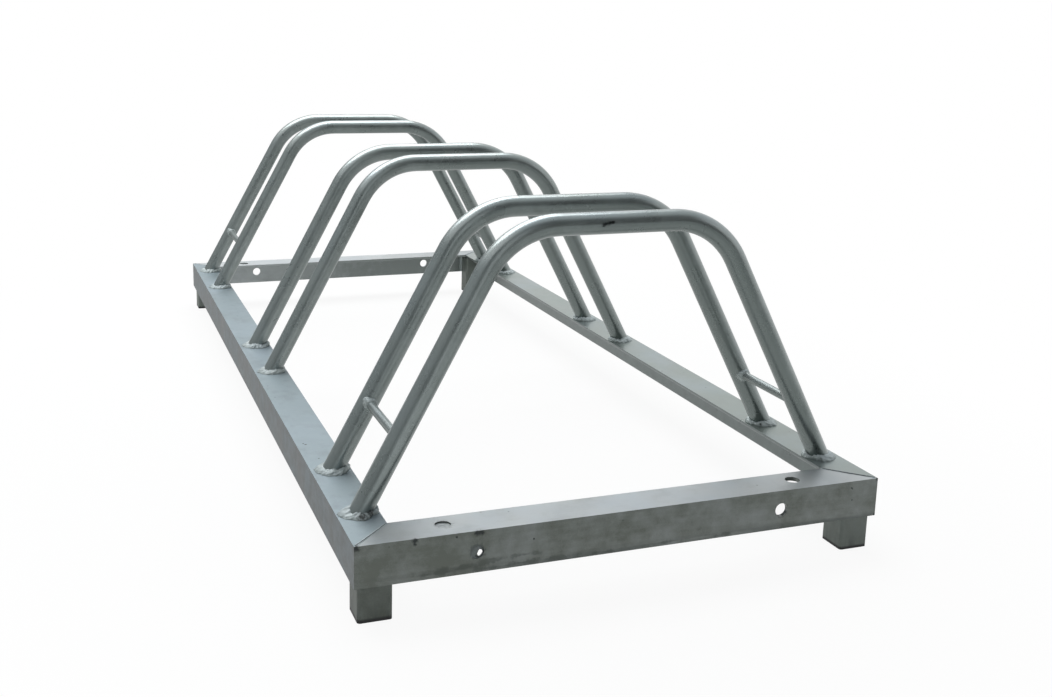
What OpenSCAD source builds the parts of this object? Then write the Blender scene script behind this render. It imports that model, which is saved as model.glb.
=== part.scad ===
// Floor bike rack: a welded, hot-dip galvanised steel frame of equal-leg angles on four
// short square feet, carrying six bent round-tube hoops that stand in three pairs.
// A wheel rolls over a side rail and stands in the slot between the two hoops of a pair.
// Millimetres. The rack stands on z = 0, its length runs along Y, its width along X,
// and the origin is the middle of the footprint.

/* [Base frame] */
// Length of the base frame over its end rails
frame_length = 1230; // [1160:1:1300]
// Width of the base frame over its side rails
frame_width = 542; // [500:1:600]
// Leg length of the equal-leg angle
angle_leg = 40; // [39:0.5:44]
// Wall thickness of the angle
angle_wall = 4; // [3:0.25:4.5]
// Rolled root radius inside the angle
root_radius = 4; // [2:0.5:5]
// Rolled toe radius at both free edges of the angle
toe_radius = 2; // [1:0.25:2.5]

/* [Feet] */
// Outside size of the square tube foot
foot_size = 32; // [28:0.5:33]
// Wall thickness of the foot tube
foot_wall = 2.5; // [2:0.25:3.5]
// Outside corner radius of the foot tube
foot_corner = 3; // [1:0.25:3.5]
// Height of the foot below the frame
foot_drop = 35; // [25:1:50]

/* [Bolt holes] */
// Diameter of the two horizontal holes in an end rail
side_hole_diameter = 13.5; // [11:0.5:16]
// Spacing of the two horizontal holes in an end rail
side_hole_spacing = 317; // [280:1:340]
// Height of the horizontal holes above the lower edge of the rail
side_hole_height = 20; // [16:0.5:22]
// Diameter of the two vertical holes in an end rail
top_hole_diameter = 15; // [12:0.5:16]
// Spacing of the two vertical holes in an end rail
top_hole_spacing = 368; // [350:1:380]
// Distance of the vertical holes from the outer face of the rail
top_hole_setback = 22; // [19:0.5:25]

/* [Hoops] */
// Outside diameter of the hoop tube
tube_diameter = 21.5; // [18:0.25:22.5]
// Wall thickness of the hoop tube
tube_wall = 2.3; // [1.5:0.1:3]
// Distance of a leg centre from the outer edge of the side rail, on the flange
leg_inset = 21; // [19.5:0.25:22]
// Height of the crown centreline above the flange
hoop_rise = 261; // [230:1:300]
// Length of the crown between the two points where its line meets the leg lines
crown_width = 218; // [190:1:250]
// Centreline radius of the two bends of a hoop
bend_radius = 82; // [60:1:95]
// Growth of the tube's radii where it is bent
bend_swell = 0.05; // [0.04:0.01:0.2]
// Distance of the middle of the front pair from the front end of the frame
front_setback = 126; // [110:1:150]
// Distance of the middle of the back pair from the back end of the frame
back_setback = 144; // [122:1:165]
// Distance between the two hoop centrelines of the front pair
front_gap = 112; // [100:1:126]
// Distance between the two hoop centrelines of the middle pair
middle_gap = 124; // [100:1:130]
// Distance between the two hoop centrelines of the back pair
back_gap = 119; // [100:1:126]

/* [Skew of the hoops] */
// Turn of the hindmost hoop about the vertical, degrees
back_outer_turn = -3; // [-4:0.25:4]
// Turn of the second hoop from the back, degrees
back_inner_turn = -0.5; // [-4:0.25:4]
// Turn of both middle hoops, degrees
middle_turn = 2.25; // [-4:0.25:4]
// Turn of both front hoops, degrees
front_turn = 0.5; // [-4:0.25:4]

/* [Stays] */
// Diameter of the round stay between the hoops of an outer pair
stay_diameter = 9; // [6:0.25:11]
// Height of the left stays above the flange
left_stay_height = 68; // [50:1:90]
// Height of the right stays above the flange
right_stay_height = 62; // [50:1:90]

/* [Welds] */
// Section radius of the bead round the foot of a hoop leg
leg_bead = 5.25; // [3.5:0.25:6]
// Height of the bead over the end of a stay
stay_bead = 2.75; // [1.5:0.25:3.5]
// Width of the dressed weld seam on a mitre
seam_width = 4; // [2:0.25:6]
// Height of the dressed weld seam on a mitre
seam_height = 0.6; // [0.3:0.1:1.2]
// Distance of the seam ends from the corners of the mitre
seam_margin = 0.5; // [0.25:0.25:3]
// Section radius of the upright bead at a foot
foot_bead = 4; // [2.5:0.25:5]

/* [View] */
// Node to show, or all of them

/* [Hidden] */
$fn = 96;
// Length by which a cutting body runs past the metal it cuts
overrun = angle_leg / 4;
half_length = frame_length / 2;
half_width = frame_width / 2;
// Height of the flange top above the floor, which every hoop stands on
flange_top = foot_drop + angle_leg;
// Top of the foot tube, just under the rolled root of the angle
foot_top = flange_top - angle_wall - root_radius;
tube_radius = tube_diameter / 2;
bore_radius = tube_radius - tube_wall;
// Half spread of the two leg centres on the flange
leg_reach = half_width - leg_inset;
half_crown = crown_width / 2;
// Lean of a leg off the vertical
leg_lean = atan2(leg_reach - half_crown, hoop_rise);
bend_turn = 90 - leg_lean;
bend_tangent = bend_radius * tan(bend_turn / 2);
// Half of the straight part of the crown
crown_flat = half_crown - bend_tangent;
leg_run = norm([leg_reach - half_crown, hoop_rise]) - bend_tangent;
// Depth by which a straight length of the tube is let into its bend
swell_depth = 5 * bend_swell;
// Large body that clears everything under the flange
clear_size = 2 * frame_width;
// Middles of the three pairs along the rack, the middle pair half way between the others
front_pair_y = front_setback - half_length;
back_pair_y = half_length - back_setback;
middle_pair_y = (front_pair_y + back_pair_y) / 2;
// Positions of the six hoops along the rack, front to back
front_outer_y = front_pair_y - front_gap / 2;
front_inner_y = front_pair_y + front_gap / 2;
middle_front_y = middle_pair_y - middle_gap / 2;
middle_back_y = middle_pair_y + middle_gap / 2;
back_inner_y = back_pair_y - back_gap / 2;
back_outer_y = back_pair_y + back_gap / 2;
// Major radius of the leg bead, between the two half axes of the slanted tube foot
bead_ring = (tube_radius + tube_radius / cos(leg_lean)) / 2;
zinc = [0.66, 0.70, 0.71];
zinc_dark = [0.52, 0.56, 0.56];
weld_grey = [0.60, 0.64, 0.65];

// Section of the rolled angle: outer corner at the origin, flange along +X, leg along -Y
module angle_section() {
  difference() {
    union() {
      translate([0, -angle_leg])
        square([angle_wall, angle_leg]);
      translate([0, -angle_wall])
        square([angle_leg, angle_wall]);
      difference() {
        translate([0, -angle_wall - root_radius])
          square([angle_wall + root_radius, angle_wall + root_radius]);
        translate([angle_wall + root_radius, -angle_wall - root_radius])
          circle(r = root_radius);
      }
    }
    // rolled toe under the free edge of the flange
    difference() {
      translate([angle_leg - toe_radius, -angle_wall - overrun])
        square([toe_radius + overrun, toe_radius + overrun]);
      translate([angle_leg - toe_radius, -angle_wall + toe_radius])
        circle(r = toe_radius);
    }
    // rolled toe inside the lower edge of the leg
    difference() {
      translate([angle_wall - toe_radius, -angle_leg - overrun])
        square([toe_radius + overrun, toe_radius + overrun]);
      translate([angle_wall - toe_radius, -angle_leg + toe_radius])
        circle(r = toe_radius);
    }
  }
}

// Plan of a mitred rail: outer edge on X, inner edge one angle leg inwards
module mitred_plan(run) {
  polygon([
    [-run / 2, 0],
    [run / 2, 0],
    [run / 2 - angle_leg, angle_leg],
    [-run / 2 + angle_leg, angle_leg]
  ]);
}

// Rail along X: outer face at y = 0, flange top at z = 0, both ends cut at 45 degrees
module mitred_rail(run) {
  intersection() {
    translate([-run / 2, 0, 0])
      rotate([90, 0, 90])
        linear_extrude(height = run)
          angle_section();
    translate([0, 0, -angle_leg - overrun])
      linear_extrude(height = angle_leg + 2 * overrun)
        mitred_plan(run);
  }
}

// End rail with its two horizontal and two vertical bolt holes
module end_rail() {
  difference() {
    mitred_rail(frame_width);
    for (side = [-1, 1]) {
      translate([side * side_hole_spacing / 2, -overrun, side_hole_height - angle_leg])
        rotate([-90, 0, 0])
          cylinder(d = side_hole_diameter, h = angle_wall + 2 * overrun);
      translate([side * top_hole_spacing / 2, top_hole_setback, -angle_wall - overrun])
        cylinder(d = top_hole_diameter, h = angle_wall + 2 * overrun);
    }
  }
}

module front_end_rail() {
  color(zinc)
    translate([0, -half_length, flange_top])
      end_rail();
}

module back_end_rail() {
  color(zinc)
    translate([0, half_length, flange_top])
      rotate([0, 0, 180])
        end_rail();
}

module left_side_rail() {
  color(zinc)
    translate([-half_width, 0, flange_top])
      rotate([0, 0, -90])
        mitred_rail(frame_length);
}

module right_side_rail() {
  color(zinc)
    translate([half_width, 0, flange_top])
      rotate([0, 0, 90])
        mitred_rail(frame_length);
}

module rounded_square(size, corner) {
  translate([corner, 0])
    square([size - 2 * corner, size]);
  translate([0, corner])
    square([size, size - 2 * corner]);
  for (x = [corner, size - corner], y = [corner, size - corner])
    translate([x, y])
      circle(r = corner);
}

// Body of a foot without its bore: its corner stands at the origin
module foot_body() {
  linear_extrude(height = foot_top)
    rounded_square(foot_size, foot_corner);
}

module foot() {
  difference() {
    foot_body();
    translate([foot_wall, foot_wall, -overrun])
      cube([foot_size - 2 * foot_wall, foot_size - 2 * foot_wall, foot_top + 2 * overrun]);
  }
}

// Puts a corner piece of the front left corner at the corner named by the two signs
module at_corner(side, end) {
  mirror([side > 0 ? 1 : 0, 0, 0])
    mirror([0, end > 0 ? 1 : 0, 0])
      translate([-half_width, -half_length, 0])
        children();
}

module placed_foot(side, end) {
  color(zinc_dark)
    at_corner(side, end)
      translate([angle_wall, angle_wall, 0])
        foot();
}

module front_left_foot() {
  placed_foot(-1, -1);
}

module front_right_foot() {
  placed_foot(1, -1);
}

module back_left_foot() {
  placed_foot(-1, 1);
}

module back_right_foot() {
  placed_foot(1, 1);
}

// Frame of the right bend: its axis lies along the local z, the crown joins it at local +Y
module at_bend() {
  translate([crown_flat, 0, hoop_rise - bend_radius])
    rotate([90, 0, 0])
      children();
}

// Solid round bar along the right leg, from its bend down to a length past the flange
module leg_bar(radius) {
  at_bend()
    rotate([0, 0, leg_lean])
      translate([bend_radius, swell_depth, 0])
        rotate([90, 0, 0])
          cylinder(r = radius, h = leg_run + 2 * overrun);
}

// Solid bar of one radius along the right bend
module bend_bar(radius) {
  at_bend()
    rotate([0, 0, leg_lean])
      rotate_extrude(angle = bend_turn)
        translate([bend_radius, 0])
          circle(r = radius + bend_swell);
}

// Solid bar of one radius along the whole bent centreline
module hoop_bar(radius) {
  translate([crown_flat + swell_depth, 0, hoop_rise])
    rotate([0, -90, 0])
      cylinder(r = radius, h = 2 * (crown_flat + swell_depth));
  for (side = [0, 1])
    mirror([side, 0, 0]) {
      bend_bar(radius);
      leg_bar(radius);
    }
}

module under_flange() {
  translate([-clear_size / 2, -clear_size / 2, -clear_size])
    cube([clear_size, clear_size, clear_size]);
}

// One hollow hoop standing on z = 0, in one length from foot to foot
module hoop() {
  difference() {
    hoop_bar(tube_radius);
    hoop_bar(bore_radius);
    under_flange();
  }
}

module on_flange(y, turn) {
  translate([0, y, flange_top])
    rotate([0, 0, turn])
      children();
}

module front_outer_hoop() {
  color(zinc)
    on_flange(front_outer_y, front_turn)
      hoop();
}

module front_inner_hoop() {
  color(zinc)
    on_flange(front_inner_y, front_turn)
      hoop();
}

module middle_front_hoop() {
  color(zinc)
    on_flange(middle_front_y, middle_turn)
      hoop();
}

module middle_back_hoop() {
  color(zinc)
    on_flange(middle_back_y, middle_turn)
      hoop();
}

module back_inner_hoop() {
  color(zinc)
    on_flange(back_inner_y, back_inner_turn)
      hoop();
}

module back_outer_hoop() {
  color(zinc)
    on_flange(back_outer_y, back_outer_turn)
      hoop();
}

// Centre of a leg at one height above the flange, for the hoop at y with its turn
function leg_across(height) = leg_reach - height * tan(leg_lean);
function leg_point(y, turn, side, height) = [
  side * leg_across(height) * cos(turn),
  y + side * leg_across(height) * sin(turn),
  flange_top + height
];

// Solid body of one leg of a hoop, used to cope whatever butts against it
module leg_body(y, turn, side) {
  on_flange(y, turn)
    mirror([side < 0 ? 1 : 0, 0, 0])
      leg_bar(tube_radius);
}

// Round bar from one leg centre to the other
module stay_bar(near, far) {
  reach = far - near;
  translate(near)
    rotate([0, 90, atan2(reach[1], reach[0])])
      cylinder(d = stay_diameter, h = norm(reach));
}

module stay(y_near, turn_near, y_far, turn_far, side, height) {
  difference() {
    stay_bar(leg_point(y_near, turn_near, side, height), leg_point(y_far, turn_far, side, height));
    leg_body(y_near, turn_near, side);
    leg_body(y_far, turn_far, side);
  }
}

module front_left_stay() {
  color(zinc)
    stay(front_outer_y, front_turn, front_inner_y, front_turn, -1, left_stay_height);
}

module front_right_stay() {
  color(zinc)
    stay(front_outer_y, front_turn, front_inner_y, front_turn, 1, right_stay_height);
}

module back_left_stay() {
  color(zinc)
    stay(back_inner_y, back_inner_turn, back_outer_y, back_outer_turn, -1, left_stay_height);
}

module back_right_stay() {
  color(zinc)
    stay(back_inner_y, back_inner_turn, back_outer_y, back_outer_turn, 1, right_stay_height);
}

// Bead round the foot of each leg of one hoop
module leg_welds() {
  difference() {
    for (side = [0, 1])
      mirror([side, 0, 0])
        translate([leg_reach, 0, 0])
          rotate_extrude()
            translate([bead_ring, 0])
              circle(r = leg_bead);
    for (side = [0, 1])
      mirror([side, 0, 0])
        leg_bar(tube_radius);
    under_flange();
  }
}

module front_outer_hoop_welds() {
  color(weld_grey)
    on_flange(front_outer_y, front_turn)
      leg_welds();
}

module front_inner_hoop_welds() {
  color(weld_grey)
    on_flange(front_inner_y, front_turn)
      leg_welds();
}

module middle_front_hoop_welds() {
  color(weld_grey)
    on_flange(middle_front_y, middle_turn)
      leg_welds();
}

module middle_back_hoop_welds() {
  color(weld_grey)
    on_flange(middle_back_y, middle_turn)
      leg_welds();
}

module back_inner_hoop_welds() {
  color(weld_grey)
    on_flange(back_inner_y, back_inner_turn)
      leg_welds();
}

module back_outer_hoop_welds() {
  color(weld_grey)
    on_flange(back_outer_y, back_outer_turn)
      leg_welds();
}

// Bead round both ends of one stay
module stay_welds(y_near, turn_near, y_far, turn_far, side, height) {
  near = leg_point(y_near, turn_near, side, height);
  far = leg_point(y_far, turn_far, side, height);
  reach = far - near;
  difference() {
    translate(near)
      rotate([0, 90, atan2(reach[1], reach[0])])
        for (along = [tube_radius, norm(reach) - tube_radius])
          translate([0, 0, along])
            sphere(r = stay_diameter / 2 + stay_bead);
    stay_bar(near, far);
    leg_body(y_near, turn_near, side);
    leg_body(y_far, turn_far, side);
  }
}

module front_left_stay_welds() {
  color(weld_grey)
    stay_welds(front_outer_y, front_turn, front_inner_y, front_turn, -1, left_stay_height);
}

module front_right_stay_welds() {
  color(weld_grey)
    stay_welds(front_outer_y, front_turn, front_inner_y, front_turn, 1, right_stay_height);
}

module back_left_stay_welds() {
  color(weld_grey)
    stay_welds(back_inner_y, back_inner_turn, back_outer_y, back_outer_turn, -1, left_stay_height);
}

module back_right_stay_welds() {
  color(weld_grey)
    stay_welds(back_inner_y, back_inner_turn, back_outer_y, back_outer_turn, 1, right_stay_height);
}

// Low dressed seam along the mitre of the front left corner
module mitre_seam() {
  seam_start = seam_width / 2 + seam_margin;
  seam_run = angle_leg * sqrt(2) - seam_start - seam_margin;
  translate([0, 0, flange_top])
    rotate([0, 0, 45])
      translate([seam_start, 0, 0])
        rotate([90, 0, 90])
          linear_extrude(height = seam_run)
            polygon([
              [-seam_width / 2, 0],
              [seam_width / 2, 0],
              [seam_width / 4, seam_height],
              [-seam_width / 4, seam_height]
            ]);
}

module placed_seam(side, end) {
  color(weld_grey)
    at_corner(side, end)
      mitre_seam();
}

module front_left_mitre_seam() {
  placed_seam(-1, -1);
}

module front_right_mitre_seam() {
  placed_seam(1, -1);
}

module back_left_mitre_seam() {
  placed_seam(-1, 1);
}

module back_right_mitre_seam() {
  placed_seam(1, 1);
}

// Two upright beads where the free sides of a foot meet the legs of the rails
module foot_welds() {
  bead_run = foot_top - foot_drop - toe_radius;
  difference() {
    for (at = [[angle_wall, angle_wall + foot_size], [angle_wall + foot_size, angle_wall]])
      translate([at[0], at[1], foot_drop + toe_radius])
        cylinder(r = foot_bead, h = bead_run);
    translate([angle_wall, angle_wall, 0])
      foot_body();
    translate([-overrun, -overrun, 0])
      cube([angle_wall + overrun, angle_leg + foot_size, flange_top]);
    translate([-overrun, -overrun, 0])
      cube([angle_leg + foot_size, angle_wall + overrun, flange_top]);
  }
}

module placed_foot_welds(side, end) {
  color(weld_grey)
    at_corner(side, end)
      foot_welds();
}

module front_left_foot_welds() {
  placed_foot_welds(-1, -1);
}

module front_right_foot_welds() {
  placed_foot_welds(1, -1);
}

module back_left_foot_welds() {
  placed_foot_welds(-1, 1);
}

module back_right_foot_welds() {
  placed_foot_welds(1, 1);
}

front_end_rail();
back_end_rail();
left_side_rail();
right_side_rail();
front_left_foot();
front_right_foot();
back_left_foot();
back_right_foot();
front_outer_hoop();
front_inner_hoop();
middle_front_hoop();
middle_back_hoop();
back_inner_hoop();
back_outer_hoop();
front_left_stay();
front_right_stay();
back_left_stay();
back_right_stay();
front_outer_hoop_welds();
front_inner_hoop_welds();
middle_front_hoop_welds();
middle_back_hoop_welds();
back_inner_hoop_welds();
back_outer_hoop_welds();
front_left_stay_welds();
front_right_stay_welds();
back_left_stay_welds();
back_right_stay_welds();
front_left_mitre_seam();
front_right_mitre_seam();
back_left_mitre_seam();
back_right_mitre_seam();
front_left_foot_welds();
front_right_foot_welds();
back_left_foot_welds();
back_right_foot_welds();
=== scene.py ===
# %% [markdown]
# # A galvanised floor rack for bicycles
# The rack is a ladder of hot-dip galvanised steel. Four lengths of angle make the base,
# four short square tubes are its feet, and six bent tubes stand across it in three pairs.
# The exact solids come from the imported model. This lesson gives them light, a camera and
# zinc, and adds what a solid modeller leaves plain: lumpy weld beads, runs of zinc and dirt.

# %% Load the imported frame
import math
import bpy
import numpy as np
from mathutils import Matrix, Vector


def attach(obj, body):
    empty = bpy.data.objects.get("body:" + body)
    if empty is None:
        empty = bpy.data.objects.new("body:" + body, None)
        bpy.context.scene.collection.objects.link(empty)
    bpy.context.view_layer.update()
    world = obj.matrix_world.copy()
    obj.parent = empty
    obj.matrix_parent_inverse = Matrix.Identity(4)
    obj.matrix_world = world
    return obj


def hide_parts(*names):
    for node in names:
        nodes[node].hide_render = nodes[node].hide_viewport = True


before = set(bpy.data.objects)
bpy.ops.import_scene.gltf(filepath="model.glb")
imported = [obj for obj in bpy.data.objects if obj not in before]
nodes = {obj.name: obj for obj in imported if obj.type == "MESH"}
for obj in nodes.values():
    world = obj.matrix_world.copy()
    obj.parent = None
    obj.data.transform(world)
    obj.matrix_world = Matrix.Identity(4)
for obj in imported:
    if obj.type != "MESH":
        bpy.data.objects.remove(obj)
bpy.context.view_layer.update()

# %% [markdown]
# ## Sizes
# The looks repeat a few sizes of the solids, in metres, so that each bead sits on its joint.
# They could be measured on the meshes, but a size with a name is easier to follow. The flange
# top is the plane on which the hoops stand. The rack wasn't put together quite squarely, so
# each hoop has a place along the rack and a turn in degrees.

# %% Sizes shared by the pieces
MM = 0.001
FLANGE_TOP = 75 * MM
HALF_WIDTH = 271 * MM
HALF_LENGTH = 615 * MM
TUBE_RADIUS = 10.75 * MM
LEG_REACH = 250 * MM
HOOP_RISE = 261 * MM
HALF_CROWN = 109 * MM
LEAN = math.atan2(LEG_REACH - HALF_CROWN, HOOP_RISE)
HOOPS = {
    "front_outer_hoop": (-545 * MM, 0.5),
    "front_inner_hoop": (-433 * MM, 0.5),
    "middle_front_hoop": (-71 * MM, 2.25),
    "middle_back_hoop": (53 * MM, 2.25),
    "back_inner_hoop": (411.5 * MM, -0.5),
    "back_outer_hoop": (530.5 * MM, -3.0),
}
print("a leg leans by", round(math.degrees(LEAN), 2), "degrees")

# %% [markdown]
# ## Camera
# The picture was taken standing in front of the left end, a little above the hoops. A camera
# could be placed by eye, but its lines would miss those of the rack, so this one was fitted to
# the outlines of the rails and hoops. The lens is shifted, because its axis doesn't meet the
# middle of the picture. The first vector below points to the picture's right and the second
# one away from the camera.

# %% Place the camera
PICTURE = (1052, 697)
FOCAL_PX = 1207.06
AXIS_PX = (502.41, 264.68)
SENSOR_MM = 36.0
LENS_PLACE = (-0.49698, -1.56072, 0.52604)
right = Vector((0.93747, -0.34720, 0.02440)).normalized()
ahead = Vector((0.34470, 0.91644, -0.20326)).normalized()
up = right.cross(ahead).normalized()
lens = bpy.data.cameras.new("lens")
lens.sensor_fit = "HORIZONTAL"
lens.sensor_width = SENSOR_MM
lens.lens = FOCAL_PX / PICTURE[0] * SENSOR_MM
lens.shift_x = (PICTURE[0] / 2 - AXIS_PX[0]) / PICTURE[0]
lens.shift_y = (AXIS_PX[1] - PICTURE[1] / 2) / PICTURE[0]
camera = bpy.data.objects.new("camera", lens)
turn = Matrix((right, up, -ahead)).transposed().to_4x4()
camera.matrix_world = Matrix.Translation(LENS_PLACE) @ turn
bpy.context.scene.collection.objects.link(camera)
bpy.context.scene.camera = camera
print("lens in mm:", round(lens.lens, 2), "shift:", round(lens.shift_x, 4), round(lens.shift_y, 4))

# %% [markdown]
# ## Colour and nodes
# Paint charts and photo tools give colours as sRGB hex codes, but a renderer adds light in
# linear values. One function does the conversion, and every colour in the file goes
# through it. A second one adds a node with its settings and links. It could be split into one
# function for each kind of node, but this way the names are those that Blender shows, and a
# material reads as a list of what feeds what.

# %% Helpers for colours and nodes
def colour(code):
    """sRGB hex code to linear RGBA: c / 12.92 up to 0.04045, above it ((c + 0.055) / 1.055) ** 2.4."""
    parts = [int(code[i:i + 2], 16) / 255 for i in (1, 3, 5)]
    return tuple(c / 12.92 if c <= 0.04045 else ((c + 0.055) / 1.055) ** 2.4 for c in parts) + (1.0,)


def add(tree, kind, inputs=(), **settings):
    """Adds one node and gives it back. settings are its attributes. inputs go by name or in the node's
    own order, and each is a value, a socket to link, or a node that gives its first output."""
    node = tree.nodes.new(kind)
    for name, value in settings.items():
        setattr(node, name, value)
    listed = inputs if isinstance(inputs, dict) else dict(enumerate(inputs))
    for name, value in listed.items():
        if isinstance(value, bpy.types.Node):
            value = value.outputs[0]
        if isinstance(value, bpy.types.NodeSocket):
            tree.links.new(value, node.inputs[name])
        else:
            node.inputs[name].default_value = value
    return node


print("zinc grey as linear light:", [round(v, 3) for v in colour("#A4AFB1")[:3]])

# %% [markdown]
# ## Light and ground
# Zinc shows what surrounds it. The set is a pale floor under a wide overhead softbox. More
# light could make the ground white, but it would bleach the zinc too. So camera rays,
# reflections and see-through rays meet plain white, and the rack is lit by a dimmer fill.

# %% World
FILL_LIGHT = 0.42


def seen_directly(tree):
    """1 for rays that carry a picture of what they meet (camera, reflection, see-through), else 0."""
    rays = add(tree, "ShaderNodeLightPath").outputs
    seen = add(tree, "ShaderNodeMath", (rays["Is Camera Ray"], rays["Is Glossy Ray"]), operation="MAXIMUM")
    return add(tree, "ShaderNodeMath", (seen, rays["Is Transmission Ray"]), operation="MAXIMUM")


world = bpy.data.worlds.new("studio")
bpy.context.scene.world = world
world.use_nodes = True
sky = world.node_tree
sky.nodes.clear()
fill = add(sky, "ShaderNodeBackground", (colour("#F4F6F7"), FILL_LIGHT))
white = add(sky, "ShaderNodeBackground", (colour("#FFFFFF"), 1.0))
mix = add(sky, "ShaderNodeMixShader", (seen_directly(sky), fill, white))
add(sky, "ShaderNodeOutputWorld", {"Surface": mix})
print("world nodes:", len(sky.nodes))

# %% [markdown]
# A shadow catcher could take the shadow alone, but it would have to be put together with the
# white ground later. This floor glows by itself towards the camera, a little less so in an oval
# near the rack. There the rest is matt paper, which darkens softly under the rails and feet.

# %% Floor
FLOOR_REACH = 9
# half axes of the oval in metres, the shares of them between which it ends, and the glow inside
MATT_OVAL = (0.55, 0.95)
OVAL_EDGE = (0.7, 1.4)
GLOW_INSIDE = 0.91


def plane(name, corners):
    """A flat panel from four corner points."""
    mesh = bpy.data.meshes.new(name)
    mesh.from_pydata(corners, [], [(0, 1, 2, 3)])
    panel = bpy.data.objects.new(name, mesh)
    bpy.context.scene.collection.objects.link(panel)
    return panel


def level(x0, x1, y0, y1, height):
    """Corners of a level panel from x0 to x1 and from y0 to y1."""
    return [(x0, y0, height), (x1, y0, height), (x1, y1, height), (x0, y1, height)]


def empty_material(name):
    """A new material and its node tree with nothing in it."""
    material = bpy.data.materials.new(name)
    material.use_nodes = True
    material.node_tree.nodes.clear()
    return material, material.node_tree


floor = plane("floor", level(-FLOOR_REACH, FLOOR_REACH, -FLOOR_REACH, FLOOR_REACH, 0))
paper, tree = empty_material("white studio paper")
place = add(tree, "ShaderNodeTexCoord").outputs["Object"]
oval = add(tree, "ShaderNodeMapping", {"Vector": place, "Scale": (1 / MATT_OVAL[0], 1 / MATT_OVAL[1], 1.0)})
reach = add(tree, "ShaderNodeVectorMath", (oval,), operation="LENGTH").outputs["Value"]
glowing = add(tree, "ShaderNodeMapRange", (reach, *OVAL_EDGE, GLOW_INSIDE, 1.0))
share = add(tree, "ShaderNodeMath", (seen_directly(tree), glowing), operation="MULTIPLY")
matt = add(tree, "ShaderNodeBsdfDiffuse", (colour("#E8EAEA"),))
glow = add(tree, "ShaderNodeEmission", (colour("#FFFFFF"), 1.0))
mix = add(tree, "ShaderNodeMixShader", (share, matt, glow))
add(tree, "ShaderNodeOutputMaterial", {"Surface": mix})
floor.data.materials.append(paper)
print("floor reaches", round(floor.dimensions.x), "m")

# %% [markdown]
# A sun would throw hard shadows over the rails, and the real rack shows none, so two broad lamps
# light it. The one at the left would draw a white line down every left leg, which isn't on the
# real rack, so reflections don't see it.

# %% Lamps
def softbox(name, place, target, size, power, mirrored=True):
    """A rectangular area lamp at place that faces target. mirrored says whether reflections see it."""
    lamp = bpy.data.lights.new(name, "AREA")
    lamp.shape = "RECTANGLE"
    lamp.size, lamp.size_y = size
    lamp.energy = power
    box = bpy.data.objects.new(name, lamp)
    aim = (Vector(target) - Vector(place)).to_track_quat("-Z", "Y").to_matrix().to_4x4()
    box.matrix_world = Matrix.Translation(place) @ aim
    box.visible_glossy = mirrored
    bpy.context.scene.collection.objects.link(box)


softbox("overhead softbox", (-0.2, 0.9, 2.4), (0, 0, 0), (2.6, 1.8), 66)
softbox("left softbox", (-2.6, 0.0, 1.3), (0, 0, 0.1), (1.6, 1.4), 8, mirrored=False)

# %% [markdown]
# A whole room could be modelled, but zinc blurs what it mirrors, so a few glowing cards do. The
# camera doesn't see them and the tubes do. Behind the camera stand a dark card, a pale strip of
# wall and a dark doorway. Grey cards close the left side, a ceiling hangs over the front, and a
# strip of floor fades away from the rack. They draw the dark line along every tube, the pale line on
# the left legs and the dark band of the crowns.

# %% Room cards
ROOM_LEFT, ROOM_RIGHT, ROOM_FRONT, ROOM_BACK = -3.4, 3.6, -3.4, 3.6
WALL_START, DOOR_START = 0.2, -1.0


def upright(start, end, height):
    """Corners of a card that stands on the floor from start to end."""
    return [start + (0,), end + (0,), end + (height,), start + (height,)]


def lay(tree, under, code, *shares):
    """A colour laid over the one under it, as much as the product of the shares says."""
    mask = shares[0]
    for share in shares[1:]:
        mask = add(tree, "ShaderNodeMath", (mask, share), operation="MULTIPLY")
    return add(tree, "ShaderNodeMix", {0: mask, 6: under, 7: colour(code)}, data_type="RGBA").outputs[2]


def room_card(name, corners, axis, start, end, near, far):
    """A card seen only in reflections. It fades from near to far as the axis goes from start to end."""
    card = plane(name, corners)
    card.visible_camera = False
    card.visible_shadow = False
    card.visible_diffuse = False
    paint, tree = empty_material(name)
    place = add(tree, "ShaderNodeTexCoord").outputs["Object"]
    along = add(tree, "ShaderNodeSeparateXYZ", (place,)).outputs[axis]
    fade = add(tree, "ShaderNodeMapRange", (along, start, end))
    lit = add(tree, "ShaderNodeEmission", (lay(tree, colour(near), far, fade), 1.0))
    add(tree, "ShaderNodeOutputMaterial", {"Surface": lit})
    card.data.materials.append(paint)


room_card("dark room", upright((WALL_START, ROOM_FRONT), (ROOM_RIGHT, ROOM_FRONT), 5.2),
          "Z", 1.5, 5.2, "#131718", "#2E3435")
room_card("pale wall", upright((DOOR_START, ROOM_FRONT), (WALL_START, ROOM_FRONT), 4),
          "Z", 0.4, 3.0, "#E6E9E9", "#C8CCCD")
room_card("dark doorway", upright((ROOM_LEFT, ROOM_FRONT), (DOOR_START, ROOM_FRONT), 4),
          "Z", 0.4, 3.0, "#5A6061", "#5A6061")
room_card("grey side", upright((ROOM_LEFT, ROOM_FRONT), (ROOM_LEFT, ROOM_BACK), 2.8),
          "Z", 0.4, 2.8, "#7C8182", "#A4A9AA")
room_card("grey back", upright((ROOM_LEFT, ROOM_BACK), (-0.4, 6.2), 2.8),
          "Z", 0.4, 2.8, "#5E6364", "#9DA2A3")
room_card("dark ceiling", level(-0.9, ROOM_RIGHT, ROOM_FRONT, 0.9, 2.9),
          "Y", -2.7, -1.2, "#2E3435", "#D5DADB")
room_card("floor in front", level(ROOM_LEFT, ROOM_RIGHT, ROOM_FRONT, -0.72, 1 * MM),
          "Y", -0.75, -1.6, "#F8FAFA", "#CDD1D2")

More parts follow.
